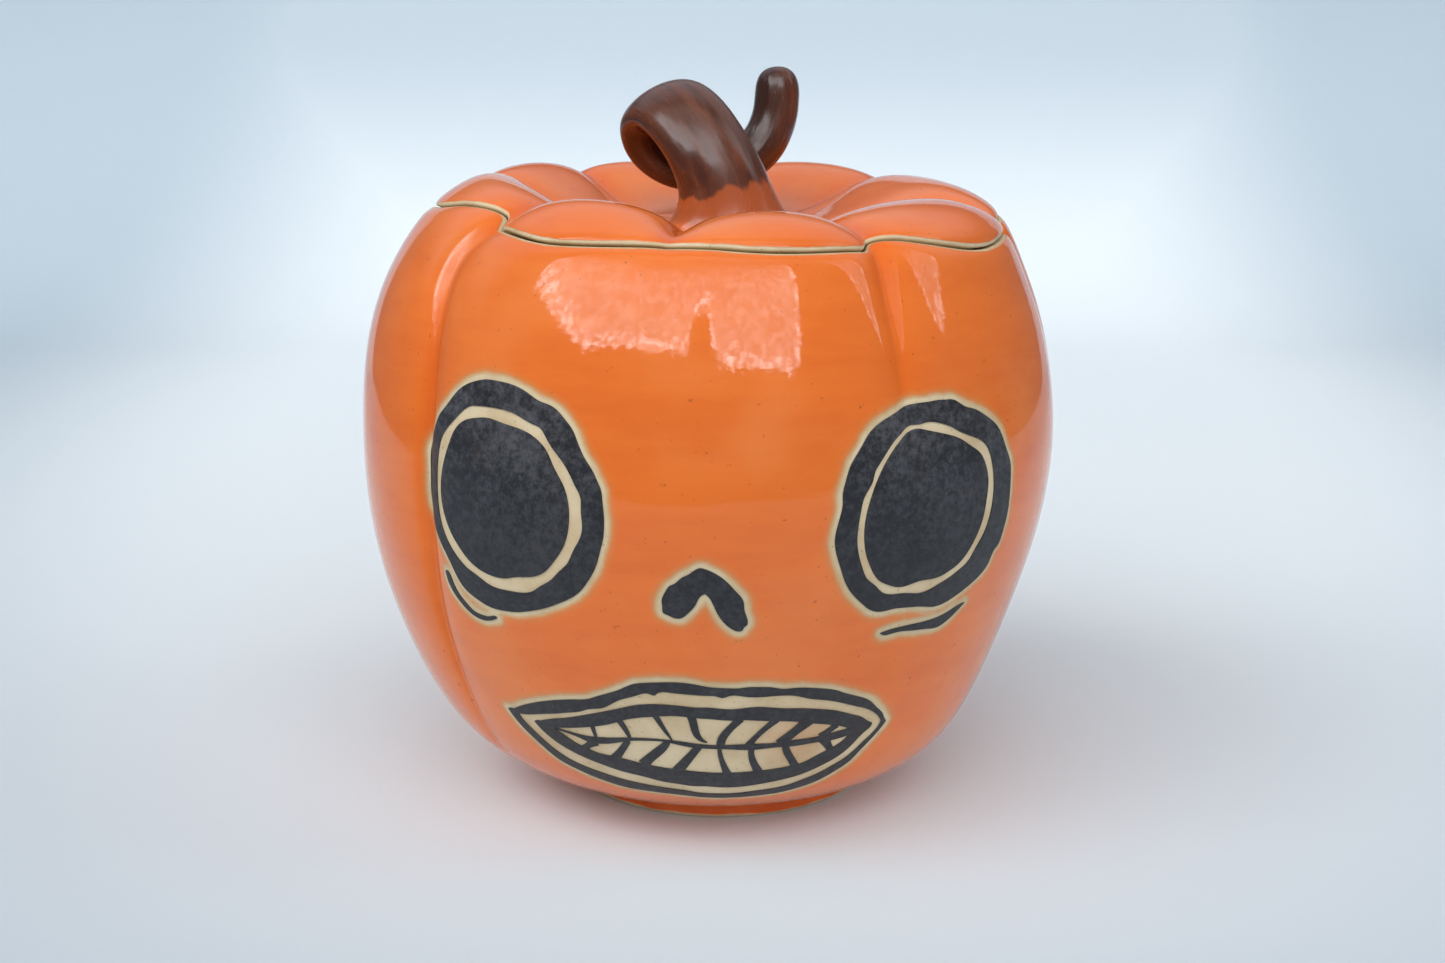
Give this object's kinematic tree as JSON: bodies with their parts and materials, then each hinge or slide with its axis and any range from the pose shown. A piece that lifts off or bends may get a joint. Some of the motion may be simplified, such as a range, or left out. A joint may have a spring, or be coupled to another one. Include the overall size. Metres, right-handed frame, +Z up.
{
  "type": "ceramic pumpkin jar",
  "caption": "Lidded stoneware jar shaped like a squat lobed pumpkin, with a painted skull face, a notched lift-off lid and a curled stem as its handle.",
  "frame": {"origin": "centre of the foot ring's underside, on the table", "axes": "+Z up; -Y is the front, towards which the face looks; +X is the viewer's right"},
  "size_m": [0.2013, 0.2006, 0.2089],
  "materials": {
    "orange_glaze": "glossy transparent orange glaze, brushed on, over buff clay",
    "brown_glaze": "satin brown glaze with streaks along the coil",
    "bare_clay": "matt bare buff stoneware",
    "black_slip": "satin black slip"
  },
  "bodies": {
    "jar": {"jar_body": "orange_glaze", "foot_ring": "orange_glaze", "left_eye_ring": "black_slip", "left_eye_pupil": "black_slip", "left_eye_underline": "black_slip", "right_eye_ring": "black_slip", "right_eye_pupil": "black_slip", "right_eye_underline": "black_slip", "nose_mark": "black_slip", "mouth_outer_line": "black_slip", "mouth_inner_band": "black_slip", "bite_line": "black_slip", "tooth_lines": "black_slip"},
    "lid": {"lid": "orange_glaze", "lid_locating_flange": "bare_clay", "stem_handle": "brown_glaze"}
  },
  "joints": [
    {"name": "lid_lift", "type": "slide", "parent": "jar", "child": "lid", "axis": [0, 0, 1], "range_m": [0, 0.08]}
  ]
}
